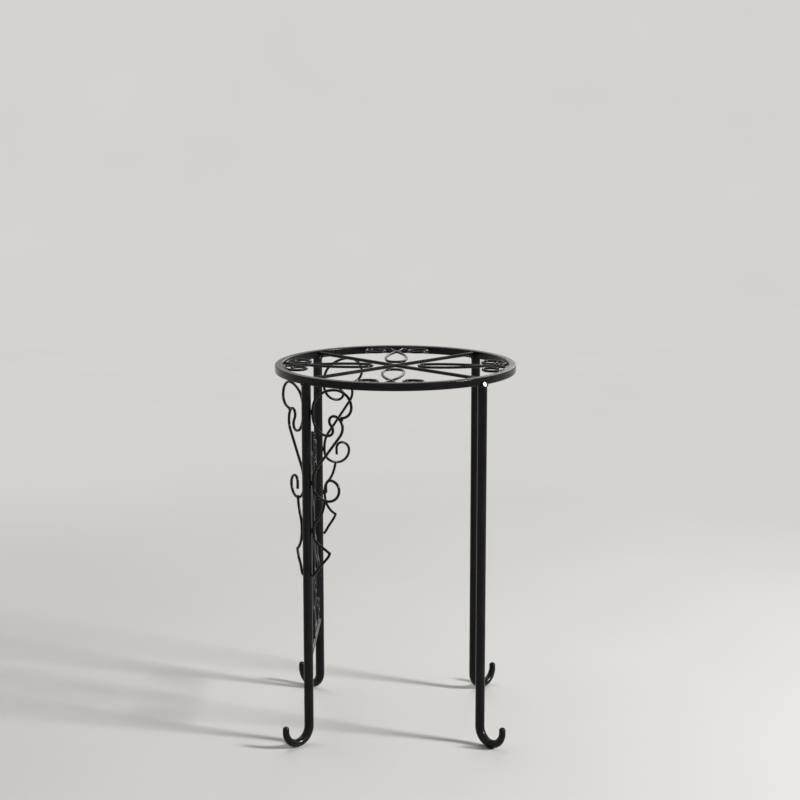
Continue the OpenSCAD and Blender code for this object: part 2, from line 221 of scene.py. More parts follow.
def grid_faces(rows, columns, closed_rows=False):
    """Quads of a grid whose columns close on themselves, and whose rows do if asked."""
    i = np.arange(rows if closed_rows else rows - 1)[:, None]
    j = np.arange(columns)[None, :]
    a = i * columns + j
    b = i * columns + (j + 1) % columns
    c = (i + 1) % rows * columns + (j + 1) % columns
    d = (i + 1) % rows * columns + j
    return np.stack([a, b, c, d], -1).reshape(-1, 4)


def skin(grid, closed_rows=False):
    """Points, quads and triangles of a grid; an open one's end rows close to one pole each."""
    rows, columns = grid.shape[:2]
    if closed_rows:
        return grid.reshape(-1, 3), grid_faces(rows, columns, True), np.empty((0, 3), int)
    points = np.concatenate([grid[1:-1].reshape(-1, 3), grid[:1, 0], grid[-1:, 0]])
    start, end = len(points) - 2, len(points) - 1
    j = np.arange(columns)
    after = (j + 1) % columns
    last = (rows - 3) * columns
    fan_in = np.stack([np.full(columns, start), after, j], -1)
    fan_out = np.stack([last + j, last + after, np.full(columns, end)], -1)
    return points, grid_faces(rows - 2, columns), np.concatenate([fan_in, fan_out])


def piece(name, skins, material, stands_for=()):
    """One smooth mesh piece, in metres, that rides on the rack and stands for frame nodes."""
    start = np.cumsum([0] + [len(points) for points, _, _ in skins])
    points = np.concatenate([part[0] for part in skins])
    quads = np.concatenate([part[1] + k for part, k in zip(skins, start)])
    triangles = np.concatenate([part[2] + k for part, k in zip(skins, start)])
    mesh = bpy.data.meshes.new(name)
    mesh.from_pydata((points * MM).tolist(), [], quads.tolist() + triangles.tolist())
    mesh.polygons.foreach_set("use_smooth", np.ones(len(mesh.polygons), bool))
    mesh.materials.append(material)
    thing = bpy.data.objects.new(name, mesh)
    bpy.context.scene.collection.objects.link(thing)
    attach(thing, "root")
    if stands_for:
        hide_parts(*stands_for)
    return thing


def wire_skin(knots, radius, sides, axes, steps=10, least=0.7):
    """A wire with rounded ends, bent along knots and set in the plane given by axes."""
    path = thinned(arc_path(knots, steps), least)
    return skin(place(tube(*round_ends(path, radius), sides), *axes))


def mirrored(knots):
    """Knots seen in a mirror that stands on the y axis."""
    knots = np.asarray(knots, float)
    return np.stack([-knots[:, 0], knots[:, 1], 180 - knots[:, 2]], 1)


def lump(centre, along, across, half_length, radii, ripples=0, rows=22, columns=20, phase=0.0):
    """A weld lump: an ellipsoid drawn out along one way, ringed by the ripples of the weld pool.

    The radius at u from -1 to 1 along it is (1 - |u|^p)^(1/p) (1 + h cos(pi k u + phase)), with
    the power p, and k ripples of the height h.  Its section is an ellipse with the two radii.
    """
    power, height = 2.6, 0.09
    along = np.asarray(along, float) / np.linalg.norm(along)
    across = np.asarray(across, float)
    across = across - along * np.dot(across, along)
    across /= np.linalg.norm(across)
    third = np.cross(along, across)
    b = np.linspace(-np.pi / 2, np.pi / 2, rows)
    u = np.sin(b)
    swell = (1 - np.abs(u) ** power).clip(0) ** (1 / power) \
        * (1 + height * np.cos(np.pi * ripples * u + phase))
    t = np.arange(columns) * 2 * np.pi / columns
    grid = np.asarray(centre, float) + (half_length * u)[:, None, None] * along \
        + (swell[:, None] * radii[0] * np.cos(t))[..., None] * across \
        + (swell[:, None] * radii[1] * np.sin(t))[..., None] * third
    grid[0], grid[-1] = grid[0, :1], grid[-1, :1]
    return skin(grid)


def tack(centre, facing, up, radii, thickness, rows=14, columns=40):
    """A flat-faced weld tack: a disc of diamond outline, its rim rounded off.

    The outline's radius at the angle t is (|cos t / a|^p + |sin t / b|^p)^(-1/p) for the half
    width a, the half height b and the power p.  From the pole to the rim, at the share s of
    that radius, the face stands (1 - s^q)^(1/2) times half the thickness above the middle,
    with the power q.  The rows crowd towards the rim, at the shares |cos b|^c.
    """
    power, rim_power, crowding = 1.5, 5, 0.6
    facing = np.asarray(facing, float) / np.linalg.norm(facing)
    side = np.cross(up, facing)
    side /= np.linalg.norm(side)
    top = np.cross(facing, side)
    t = np.arange(columns) * 2 * np.pi / columns
    outline = (np.abs(np.cos(t) / radii[0]) ** power
               + np.abs(np.sin(t) / radii[1]) ** power) ** (-1 / power)
    b = np.linspace(-np.pi / 2, np.pi / 2, 2 * rows + 1)
    share = np.abs(np.cos(b)).clip(0, 1) ** crowding
    share[[0, -1]] = 0
    height = thickness / 2 * np.sign(b) * np.sqrt((1 - share ** rim_power).clip(0))
    flat = share[:, None] * outline
    grid = np.asarray(centre, float) + (flat * np.cos(t))[..., None] * side \
        + (flat * np.sin(t))[..., None] * top + height[:, None, None] * facing
    return skin(grid)


def collar_ring(centre, radial, radius, section, ripples, seed, rows=72, columns=12):
    """A fillet weld round a bar: a round section carried along a circle.

    The section's radius at the angle a is s (1 + h cos(n a) + w sin(3 a + seed)), with n
    ripples of the height h and a slow sway w.
    """
    height, sway = 0.13, 0.10
    a = -np.arange(rows) * 2 * np.pi / rows
    size = section * (1 + height * np.cos(ripples * a) + sway * np.sin(3 * a + seed))
    t = np.arange(columns) * 2 * np.pi / columns
    out = radius + size[:, None] * np.cos(t)
    way = unit(np.degrees(a) + radial)
    flat = way[:, None, :] * out[..., None]
    up = (size[:, None] * np.sin(t))[..., None]
    return skin(np.concatenate([flat, up], -1) + np.asarray(centre, float), closed_rows=True)


def length(name, description, millimetres):
    """A length that the user may change; it is kept in metres and shown in the scene's unit."""
    return FloatProperty(name=name, description=description, default=float(millimetres) * MM,
                         min=0.0, precision=5, subtype="DISTANCE", unit="LENGTH")


def colour(name, description, hex_colour):
    """A colour that the user may change, given as its sRGB hex value."""
    return FloatVectorProperty(name=name, description=description, default=linear(hex_colour),
                               subtype="COLOR", size=4, min=0, max=1)


class RackSizes(bpy.types.PropertyGroup):
    """Sizes of the rack, read from the frame where it shows them."""
    ring_outside: length("Ring diameter", "Outside diameter of the ring",
                         RING_BOX[1][0] - RING_BOX[0][0])
    ring_width: length("Ring bar width", "Radial width of the ring's bar", 9.5)
    ring_height: length("Ring bar height", "Height of the ring's bar",
                        RING_BOX[1][2] - RING_BOX[0][2])
    ring_corner: length("Ring corner", "Rounding of the ring bar's corners", 1.5)
    stand_height: length("Height", "Height of the ring's top above the floor", RING_BOX[1][2])
    leg_diameter: length("Leg bar", "Diameter of the legs' bar", 12)
    tip_diameter: length("Foot tip", "Diameter of the bar at the foot's tip", 8.3)
    bend_radius: length("Foot bend", "Radius of the foot's bend", 19)
    tip_rise: length("Tip rise", "Straight rise past the foot's bend", 3)
    rod_diameter: length("Cross rod", "Diameter of the tray's rods", ROD_BOX[1][2] - ROD_BOX[0][2])
    wire_diameter: length("Wire", "Diameter of the scrolls' wire",
                          WIRE_BOX[1][2] - WIRE_BOX[0][2])
    tray_height: length("Tray", "Height of the tray wires' middle above the floor",
                        (WIRE_BOX[1][2] + WIRE_BOX[0][2]) / 2)
    rail_diameter: length("Rail", "Diameter of the lower rail", RAIL_BOX[1][2] - RAIL_BOX[0][2])
    rail_height: length("Rail height", "Height of the rail's middle above the floor",
                        (RAIL_BOX[1][2] + RAIL_BOX[0][2]) / 2)
    ball_diameter: length("Ball", "Diameter of the ball on the stem", 8)
    bar_sides: IntProperty(
        name="Bar sides", description="Number of sides round a bar", default=40, min=3)
    wire_sides: IntProperty(
        name="Wire sides", description="Number of sides round a wire", default=16, min=3)


class RackColours(bpy.types.PropertyGroup):
    """Colours of the coat and of the studio."""
    coat: colour("Coat", "Black of the powder coat", "060607")
    coat_thin: colour("Thin coat", "Greyer black where the coat is thin or chalky", "141415")
    # Partly a painted highlight: on the ring's corners and the feet this grey also stands in for
    # glints
    coat_rubbed: colour("Rubbed coat", "Dull grey where the coat is rubbed", "262627")
    dust: colour("Dust", "Grey of the settled dust", "3a3936")
    floor: colour("Floor", "Pale grey of the studio floor", "d6d4d0")
    air: colour("Air", "Cool white that the studio's air sends into the shadows", "f7f9ff")


def sizes():
    """The rack's lengths in millimetres, and its numbers of sides."""
    group = bpy.context.scene.rack_sizes
    values = {name: getattr(group, name) for name in RackSizes.__annotations__}
    return SimpleNamespace(**{name: value if isinstance(value, int) else value / MM
                              for name, value in values.items()})


def colours():
    """The colours of the coat and of the studio."""
    return bpy.context.scene.rack_colours


def add(tree, kind, settings=None, values=None, links=None):
    """Adds a node of a kind with its settings, socket values and incoming links."""
    node = tree.nodes.new(kind)
    for name, value in (settings or {}).items():
        setattr(node, name, value)
    for socket, value in (values or {}).items():
        node.inputs[socket].default_value = value
    for socket, source in (links or {}).items():
        tree.links.new(source, node.inputs[socket])
    return node


def fresh(name):
    """A new material without nodes, and its node tree."""
    material = bpy.data.materials.new(name)
    material.use_nodes = True
    material.node_tree.nodes.clear()
    return material, material.node_tree


def cells(width_mm):
    """Scale of a noise whose cells are that wide."""
    return 1 / (width_mm * MM)


def from_axis(tree, where):
    """Distance from the upright line through the ring's middle."""
    across = add(tree, "ShaderNodeVectorMath", {"operation": "MULTIPLY"}, {1: (1, 1, 0)},
                 {0: where})
    return add(tree, "ShaderNodeVectorMath", {"operation": "LENGTH"},
               links={0: across.outputs["Vector"]}).outputs["Value"]


def ring_edges(tree, where):
    """Mask of the ring bar's rounded corners: a painted highlight along them, with the coat's wear
    from handling.
    """
    s = sizes()
    # Width of the outermost strip, in mm, on which the mask is full
    strip = 0.5
    height = add(tree, "ShaderNodeSeparateXYZ", links={"Vector": where})
    masks = []
    for value, middle, half in (
            (from_axis(tree, where), (s.ring_outside - s.ring_width) / 2, s.ring_width / 2),
            (height.outputs["Z"], s.stand_height - s.ring_height / 2, s.ring_height / 2)):
        off = add(tree, "ShaderNodeMath", {"operation": "SUBTRACT"}, {1: middle * MM}, {0: value})
        far = add(tree, "ShaderNodeMath", {"operation": "ABSOLUTE"}, links={0: off.outputs[0]})
        masks.append(add(tree, "ShaderNodeMapRange", values={
            "From Min": (half - s.ring_corner) * MM, "From Max": (half - strip) * MM},
            links={"Value": far.outputs[0]}).outputs["Result"])
    both = add(tree, "ShaderNodeMath", {"operation": "MULTIPLY"}, links=dict(enumerate(masks)))
    return both.outputs[0]


def near_floor(tree, where):
    """Mask of the lowest 16 mm of the feet: greyer there as a painted highlight for the feet's
    glints, and dulled by sweeping and knocks.
    """
    height = add(tree, "ShaderNodeSeparateXYZ", links={"Vector": where})
    return add(tree, "ShaderNodeMapRange", values={"From Min": 16 * MM, "From Max": 2 * MM},
               links={"Value": height.outputs["Z"]}).outputs["Result"]


def powder_coat(name, grain_mm, gloss, lay=(1, 1, 1), rubbed_and_lit=None):
    """Black satin polyester powder coat, sprayed and baked on steel.

    It gives the eye a deep, slightly uneven black, the soft pebbled gloss of orange peel, and a
    trace of dust where the surface looks up.  The peel of a real coat is 0.6 to 1 mm wide; lay
    stretches it along the way the bar was drawn.  The last argument names a mask where the coat
    turns a duller grey, partly from wear and partly as a painted highlight.
    """
    material, tree = fresh(name)
    where = add(tree, "ShaderNodeTexCoord").outputs["Object"]
    laid = add(tree, "ShaderNodeMapping", values={"Scale": lay}, links={"Vector": where})
    # Orange peel, one cell to each grain_mm
    peel = add(tree, "ShaderNodeTexNoise",
               values={"Scale": cells(grain_mm), "Detail": 2.0, "Roughness": 0.45},
               links={"Vector": laid.outputs["Vector"]}).outputs["Fac"]
    # Slow unevenness of the sprayed film, over about 40 mm
    film = add(tree, "ShaderNodeTexNoise",
               values={"Scale": cells(40), "Detail": 4.0, "Roughness": 0.6},
               links={"Vector": where}).outputs["Fac"]
    # Specks of settled dust, twelve to every 5 mm
    speck = add(tree, "ShaderNodeTexNoise", values={"Scale": cells(5 / 12), "Detail": 1.0},
                links={"Vector": where}).outputs["Fac"]
    shade = add(tree, "ShaderNodeMapRange",
                values={"From Min": 0.4, "From Max": 0.75, "To Max": 0.8}, links={"Value": film})
    black = add(tree, "ShaderNodeMix", {"data_type": "RGBA"},
                {6: tuple(colours().coat), 7: tuple(colours().coat_thin)},
                {0: shade.outputs["Result"]}).outputs[2]
    rough = add(tree, "ShaderNodeMapRange",
                values={"From Min": 0.3, "From Max": 0.7, "To Min": gloss - 0.05,
                        "To Max": gloss + 0.07}, links={"Value": film}).outputs["Result"]
    if rubbed_and_lit:
        # Small patches and streaks inside the mask, in a duller grey: partly wear, partly a painted
        # highlight
        patches = add(tree, "ShaderNodeTexNoise",
                    values={"Scale": cells(2.5), "Detail": 3.0, "Roughness": 0.6},
                    links={"Vector": where})
        broken = add(tree, "ShaderNodeMapRange", values={"From Min": 0.48, "From Max": 0.66},
                     links={"Value": patches.outputs["Fac"]})
        worn_and_lit = add(tree, "ShaderNodeMath", {"operation": "MULTIPLY"},
                   links={0: rubbed_and_lit(tree, where), 1: broken.outputs["Result"]}).outputs[0]
        black = add(tree, "ShaderNodeMix", {"data_type": "RGBA"},
                    {7: tuple(colours().coat_rubbed)}, {0: worn_and_lit, 6: black}).outputs[2]
        rough = add(tree, "ShaderNodeMath", {"operation": "MULTIPLY_ADD", "use_clamp": True},
                    {1: 0.12}, {0: worn_and_lit, 2: rough}).outputs[0]
    facing = add(tree, "ShaderNodeSeparateXYZ",
                 links={"Vector": add(tree, "ShaderNodeNewGeometry").outputs["Normal"]})
    upward = add(tree, "ShaderNodeMapRange",
                 values={"From Min": 0.75, "From Max": 1.0, "To Max": 0.25},
                 links={"Value": facing.outputs["Z"]})
    sprinkle = add(tree, "ShaderNodeMapRange", values={"From Min": 0.52, "From Max": 0.66},
                   links={"Value": speck})
    settled = add(tree, "ShaderNodeMath", {"operation": "MULTIPLY"},
                  links={0: upward.outputs["Result"], 1: sprinkle.outputs["Result"]})
    surface = add(tree, "ShaderNodeMix", {"data_type": "RGBA"}, {7: tuple(colours().dust)},
                  {0: settled.outputs[0], 6: black})
    bump = add(tree, "ShaderNodeBump", values={"Strength": 0.16, "Distance": 0.12 * MM},
               links={"Height": peel})
    # Carbon black soaks up most of what meets it, so the coat mirrors less than clear resin
    shader = add(tree, "ShaderNodeBsdfPrincipled",
                 values={"IOR": 1.5, "Metallic": 0.0, "Specular IOR Level": 0.17},
                 links={"Base Color": surface.outputs[2], "Roughness": rough,
                        "Normal": bump.outputs["Normal"]})
    add(tree, "ShaderNodeOutputMaterial", links={"Surface": shader.outputs["BSDF"]})
    return material


def seen_straight(tree):
    """One for rays that show a thing itself, in the camera, in gloss or through glass."""
    ray = add(tree, "ShaderNodeLightPath")
    seen = ray.outputs["Is Camera Ray"]
    for kind in ("Is Glossy Ray", "Is Transmission Ray"):
        seen = add(tree, "ShaderNodeMath", {"operation": "MAXIMUM"},
                   links={0: seen, 1: ray.outputs[kind]}).outputs[0]
    return seen


def studio_air(name):
    """The air round the studio: it fills the shadows a little, and looks as pale as the paper."""
    world = bpy.data.worlds.new(name)
    world.use_nodes = True
    tree = world.node_tree
    tree.nodes.clear()
    fill = add(tree, "ShaderNodeBackground",
               values={"Color": tuple(colours().air), "Strength": 0.06})
    plain = add(tree, "ShaderNodeBackground",
                values={"Color": tuple(colours().floor), "Strength": 1.0})
    both = add(tree, "ShaderNodeMixShader", links={
        0: seen_straight(tree), 1: fill.outputs["Background"], 2: plain.outputs["Background"]})
    add(tree, "ShaderNodeOutputWorld", links={"Surface": both.outputs["Shader"]})
    return world


def painted_paper(name):
    """Matt grey studio paper: it gives the eye an even, very slightly mottled field.

    Round the rack it takes the light and the shadow.  Farther away it shows its own colour to
    the camera and in the gloss of the coat, however the lamps fall on it.
    """
    # Distances from the rack in metres: the paper is lit up to the first, plain past the second
    lit, unlit = 0.6, 1.7
    material, tree = fresh(name)
    where = add(tree, "ShaderNodeTexCoord").outputs["Object"]
    mottle = add(tree, "ShaderNodeTexNoise", values={"Scale": cells(1000 / 3), "Detail": 5.0},
                 links={"Vector": where})
    level = add(tree, "ShaderNodeMapRange",
                values={"From Min": 0.3, "From Max": 0.7, "To Min": 0.97, "To Max": 1.0},
                links={"Value": mottle.outputs["Fac"]})
    tone = add(tree, "ShaderNodeHueSaturation", values={"Color": tuple(colours().floor)},
               links={"Value": level.outputs["Result"]})
    shader = add(tree, "ShaderNodeBsdfPrincipled", values={"Roughness": 0.85},
                 links={"Base Color": tone.outputs["Color"]})
    plain = add(tree, "ShaderNodeEmission", values={"Strength": 1.0},
                links={"Color": tone.outputs["Color"]})
    away = add(tree, "ShaderNodeMapRange", {"interpolation_type": "SMOOTHSTEP"},
               {"From Min": lit, "From Max": unlit}, {"Value": from_axis(tree, where)})
    share = add(tree, "ShaderNodeMath", {"operation": "MULTIPLY"},
                links={0: away.outputs["Result"], 1: seen_straight(tree)})
    both = add(tree, "ShaderNodeMixShader", links={
        0: share.outputs[0], 1: shader.outputs["BSDF"], 2: plain.outputs["Emission"]})
    add(tree, "ShaderNodeOutputMaterial", links={"Surface": both.outputs["Shader"]})
    return material


# Grain in mm, gloss, stretch of the grain along the bar, and the mask of wear and painted highlight
COATS = {
    "powder coat on flat bar": (0.9, 0.19, (1, 1, 1), ring_edges),
    "powder coat on round bar": (0.9, 0.19, (1, 1, 0.35), near_floor),
    "powder coat on wire": (0.7, 0.2, (1, 1, 1), None),
    "powder coat on weld": (0.6, 0.18, (1, 1, 1), None),
}


def coat(name):
    """The coat of that name, made the first time it is asked for."""
    return bpy.data.materials.get(name) or powder_coat(name, *COATS[name])


def leg_spot(leg):
    """Place of a leg's middle line seen from above, under the middle of the ring's bar."""
    s = sizes()
    return (s.ring_outside - s.ring_width) / 2 * unit(leg)


def leg_plane(leg, azimuth):
    """Axes of the upright plane through a leg: x along the azimuth, y up from the ring."""
    s = sizes()
    x, spot = unit(azimuth), leg_spot(leg)
    return ((x[0], x[1], 0), (0, 0, 1),
            np.array([spot[0], spot[1], s.stand_height - s.ring_height]))


def wing_azimuth(wing):
    """Azimuth of the way that a wing reaches out from its leg."""
    return wing.leg + wing.hand * (90 + wing.turn)


def wing_plane(wing):
    """Axes of a wing's upright plane."""
    return leg_plane(wing.leg, wing_azimuth(wing))


def tray_plane(azimuth):
    """Axes of the tray's plane, its y axis along the azimuth."""
    x, y = unit(azimuth - 90), unit(azimuth)
    return (x[0], x[1], 0), (y[0], y[1], 0), (0, 0, sizes().tray_height)


def panel_span():
    """Middle of the way between the left legs, half its length, and its azimuth."""
    front, rear = leg_spot(FRONT_LEFT), leg_spot(REAR_LEFT)
    way = rear - front
    return (front + rear) / 2, np.linalg.norm(way) / 2, math.degrees(math.atan2(way[1], way[0]))


def panel_plane():
    """Axes of the plane between the left legs: x to the rear, y up from the rail."""
    middle, _, azimuth = panel_span()
    x = unit(azimuth)
    return (x[0], x[1], 0), (0, 0, 1), (middle[0], middle[1], sizes().rail_height)


def tray_knots():
    """Half of a tray scroll, from the ribbon's tip over its crossing and round the coil."""
    s = sizes()
    inside = s.ring_outside / 2 - s.ring_width
    reach = inside - s.wire_diameter / 2
    # The ribbon: where its tip, its widest place and its crossing lie, and its half width
    tip, widest, crossing, half_width = 30, 58, inside - 30.5, 13.5
    # The coil: its touch on the ring, its far and its near side, all beside the ribbon's middle
    beside, far, near = 18, 41.5, 16
    turn = math.asin(beside / reach)
    return [[0, tip, 0], [half_width, widest, 90], [0, crossing, 118],
            [-beside, reach * math.cos(turn), 180 + math.degrees(turn)],
            [-far, inside - 21.5, 270], [1 - (far + near) / 2, inside - 33.5, 0],
            [-near, inside - 24.5, 90], [-near - 9, inside - 14, 180]]


# Reach of a wing's strand beside the small hook, reach of its curl, drop of the tails' lower ends
STRAND, CURL, TAIL_DROP = 52.0, 46.5, 244.0
# Width of the weld between a leg and the wing's wire that runs up it
WELD_GAP = 1.5
# Where a loop's wire ends, beside its strand
LOOP_END = (STRAND - 1.8, -38.2)
# Heights from the ring's underside at which a wing's loop and its tail come to their leg
LOOP_SEAT, TAIL_SEAT = -32.0, -183.0


def strand_seat(low):
    """Height at which a wing's strand comes to its leg, over a curl whose lowest is low."""
    return low + 24


def touch():
    """Distance from a leg's middle to the middle of a wire that touches it."""
    return (sizes().leg_diameter + sizes().wire_diameter) / 2


def aside_reach(distance, aside):
    """Reach of a wire that lies aside of a leg's middle, at a distance from it."""
    return math.sqrt(distance ** 2 - aside ** 2)


def wing_knots(wing):
    """The wing's wire: loop, seat on the leg, small hook, strand, second seat, curl."""
    seat, low = touch() + WELD_GAP, wing.low
    rest = strand_seat(low)
    return [[*LOOP_END, 0], [wing.loop, -24, 90], [wing.loop - 22, -4.2, 180],
            [seat, LOOP_SEAT, 270], [seat, LOOP_SEAT - STRAIGHT, 270], [30, wing.hook, 0],
            [38.2, wing.hook + 7, 90], [33.1, -43.4, 90], [40, -36.9, 0],
            [STRAND - 5.5, -39.4, 318], [STRAND, low + 95, 270], [STRAND - 4.4, low + 83, 232],
            [STRAND - 21.6, low + 61, 232], [seat, rest, 270], [seat, rest - STRAIGHT, 270],
            [CURL - 16.5, low, 0], [CURL, low + 15.3, 90], [CURL - 12, low + 27, 180],
            [CURL - 19, low + 19, 270], [CURL - 18.7, low + 11.5, 272]]


def tail_knots(wing):
    """The wing's tail as two wires that meet in its sharp corner."""
    (x, y), (start, over) = wing.corner, wing.tail
    seat = aside_reach(touch() + WELD_GAP, wing.aside)
    end = aside_reach(touch(), wing.aside)
    return ([[start, wing.low + over, 261], [start - 3.3, TAIL_SEAT + 23, 250],
             [seat, TAIL_SEAT, 270], [seat, TAIL_SEAT - STRAIGHT, 270], [x, y, 328]],
            [[x, y, 250], [(x + end) / 2 + 0.5, (y - TAIL_DROP) / 2, 230],
             [end, -TAIL_DROP, 225]])


# Height over the rail's middle at which a big panel scroll comes to its leg
PANEL_SEAT = 62.0


def panel_knots():
    """A big panel scroll, from its top curl past the stem and the leg to the curl on the rail."""
    s = sizes()
    leg_side = panel_span()[1] - touch()
    stem_side = s.wire_diameter + CLEAR / 2
    rail_side = (s.rail_diameter + s.wire_diameter) / 2
    # The top curl's reach and height, and the height at which the scroll meets the stem
    top, high, meet = 54.0, 262.0, 168.0
    rest = PANEL_SEAT
    return [[top - 11, high - 20, 260], [top - 18, high - 28, 180], [top - 30, high - 15, 90],
            [top - 16, high, 0], [top, high - 19, 270],
            [(top + stem_side) / 2, (high + meet) / 2 - 12, 228],
            [stem_side, meet + STRAIGHT / 2, 270], [stem_side, meet - STRAIGHT / 2, 270],
            [(leg_side + stem_side) / 2, (meet + rest) / 2, 308], [leg_side, rest, 270],
            [leg_side, rest - STRAIGHT, 270], [leg_side - 21, rail_side, 180],
            [leg_side - 40, rail_side + 18, 90], [leg_side - 27, rail_side + 32, 0],
            [leg_side - 18.5, rail_side + 22, 270], [leg_side - 21, rail_side + 12, 250]]


def heart_knots():
    """Half of the heart at the stem's foot."""
    stem_side = sizes().wire_diameter + CLEAR / 2
    # The lobe's reach and height, and the height at which the wire leaves the stem
    reach, high, rest = 30.0, 92.0, 24.0
    return [[stem_side, rest - STRAIGHT / 2, 90], [stem_side, rest + STRAIGHT / 2, 90],
            [reach, high - 18, 90], [reach - 11, high, 180], [reach - 20.5, high - 10, 270],
            [reach - 15, high - 18, 350]]


class RACK_OT_ring(bpy.types.Operator):
    """Build the ring from its rounded bar section"""
    bl_idname = "rack.ring"
    bl_label = "Ring"

    def execute(self, context):
        """The section is a rectangle with rounded corners, carried round a circle."""
        s = sizes()
        per_corner, rows = 7, 360
        half_w, half_h, r = s.ring_width / 2, s.ring_height / 2, s.ring_corner
        corners = np.repeat([45, 135, 225, 315], per_corner)
        spread = np.tile(np.linspace(-45, 45, per_corner), 4)
        t = corners + spread
        out = np.sign(np.cos(np.radians(corners))) * (half_w - r) + r * np.cos(np.radians(t))
        up = np.sign(np.sin(np.radians(corners))) * (half_h - r) + r * np.sin(np.radians(t))
        a = -np.arange(rows) * 360 / rows
        middle = s.ring_outside / 2 - half_w
        flat = unit(a)[:, None, :] * (middle + out)[None, :, None]
        z = np.broadcast_to(s.stand_height - half_h + up, flat.shape[:2])
        grid = np.concatenate([flat, z[..., None]], -1)
        ring = piece("ring_bar", [skin(grid, closed_rows=True)], coat("powder coat on flat bar"),
                     ["ring"])
        # Keeps the flat faces flat and the corners round in the shading
        ring.modifiers.new("faces", "WEIGHTED_NORMAL").keep_sharp = True
        return {"FINISHED"}


class RACK_OT_tray(bpy.types.Operator):
    """Build the tray: its cross rods and its four ribbon scrolls"""
    bl_idname = "rack.tray"
    bl_label = "Tray"

    def execute(self, context):
        s = sizes()
        r, end = s.rod_diameter / 2, s.ring_outside / 2 - s.ring_width
        # The path stops this short of a rod's ends, whose rounding runs a little into the ring
        short = 0.4
        runs = {"cross_rod_long": (REAR_RIGHT, -end), "cross_rod_front_right": (FRONT_RIGHT, r),
                "cross_rod_rear_left": (REAR_LEFT, r)}
        for node, (azimuth, start) in runs.items():
            knots = [[0, start + short, 90], [0, end - short, 90]]
            piece(node + "_bar", [wire_skin(knots, r, 24, tray_plane(azimuth), steps=30)],
                  coat("powder coat on wire"), [node])
        for name, azimuth in RIBBONS.items():
            halves = [wire_skin(k, s.wire_diameter / 2, s.wire_sides, tray_plane(azimuth))
                      for k in (tray_knots(), mirrored(tray_knots()))]
            piece("tray_ribbon_" + name, halves, coat("powder coat on wire"),
                  ["tray_scroll_" + name])
        return {"FINISHED"}


class RACK_OT_legs(bpy.types.Operator):
    """Build the four legs with their hooked feet"""
    bl_idname = "rack.legs"
    bl_label = "Legs"

    def execute(self, context):
        """The bar's radius falls from the straight to the tip with the power 1.5 of the way."""
        s = sizes()
        power = 1.5
        r, tip, bend = s.leg_diameter / 2, s.tip_diameter / 2, s.bend_radius
        top = s.stand_height - s.ring_height
        # Height of the bend's middle at which its underside just meets the floor
        around = np.linspace(0, 180, 361)
        low = float(np.max((bend + r - (r - tip) * (around / 180) ** power)
                           * np.sin(np.radians(around))))
        # Start of the bar's path, under the sawn top
        start = top - 1.2
        knots = [[0, start, 270], [0, low, 270], [bend, low - bend, 0], [2 * bend, low, 90],
                 [2 * bend, low + s.tip_rise, 90]]
        places, headings, length = thinned(arc_path(knots, steps=36), least=1.0)
        way = np.clip((length - (start - low)) / (np.pi * bend), 0, 1)
        radii = r - (r - tip) * way ** power
        # The tip ends in a half ball
        b = np.linspace(0, np.pi / 2, 10)[1:]
        places = np.concatenate([places, places[-1] + np.outer(tip * np.sin(b), [0, 1])])
        headings = np.concatenate([headings, np.full(len(b), 90.0)])
        round_off = tip * np.cos(b)
        round_off[-1] = 0
        radii = np.concatenate([radii, round_off])
        # The sawn top: a flat face, and a narrow chamfer down to the full radius
        cut, chamfer = np.array([0, 0.9, 1.0]), 0.2
        places = np.concatenate([[[0, top], [0, top], [0, top - chamfer]], places])
        headings = np.concatenate([np.full(3, 270.0), headings])
        radii = np.concatenate([r * cut, radii])
        for node, azimuth in LEG_ANGLES.items():
            x, origin = unit(azimuth), leg_spot(azimuth)
            grid = place(tube(places, headings, radii, s.bar_sides), (x[0], x[1], 0), (0, 0, 1),
                         (origin[0], origin[1], 0))
            piece(node + "_bar", [skin(grid)], coat("powder coat on round bar"), [node])
        return {"FINISHED"}


class RACK_OT_wings(bpy.types.Operator):
    """Build the scroll wings with their tails"""
    bl_idname = "rack.wings"
    bl_label = "Scroll wings"

    def execute(self, context):
        s = sizes()
        for key, wing in WINGS.items():
            x, up, origin = wing_plane(wing)
            beside = np.append(wing.aside * unit(wing_azimuth(wing) + 90), 0)
            for name, node, bends, shift in (
                    ("wing_wire_", "wing_scroll_", [wing_knots(wing)], 0),
                    ("wing_tail_wire_", "wing_tail_", tail_knots(wing), beside)):
                axes = x, up, origin + shift
                piece(name + key,
                      [wire_skin(k, s.wire_diameter / 2, s.wire_sides, axes) for k in bends],
                      coat("powder coat on wire"), [node + key])
        return {"FINISHED"}


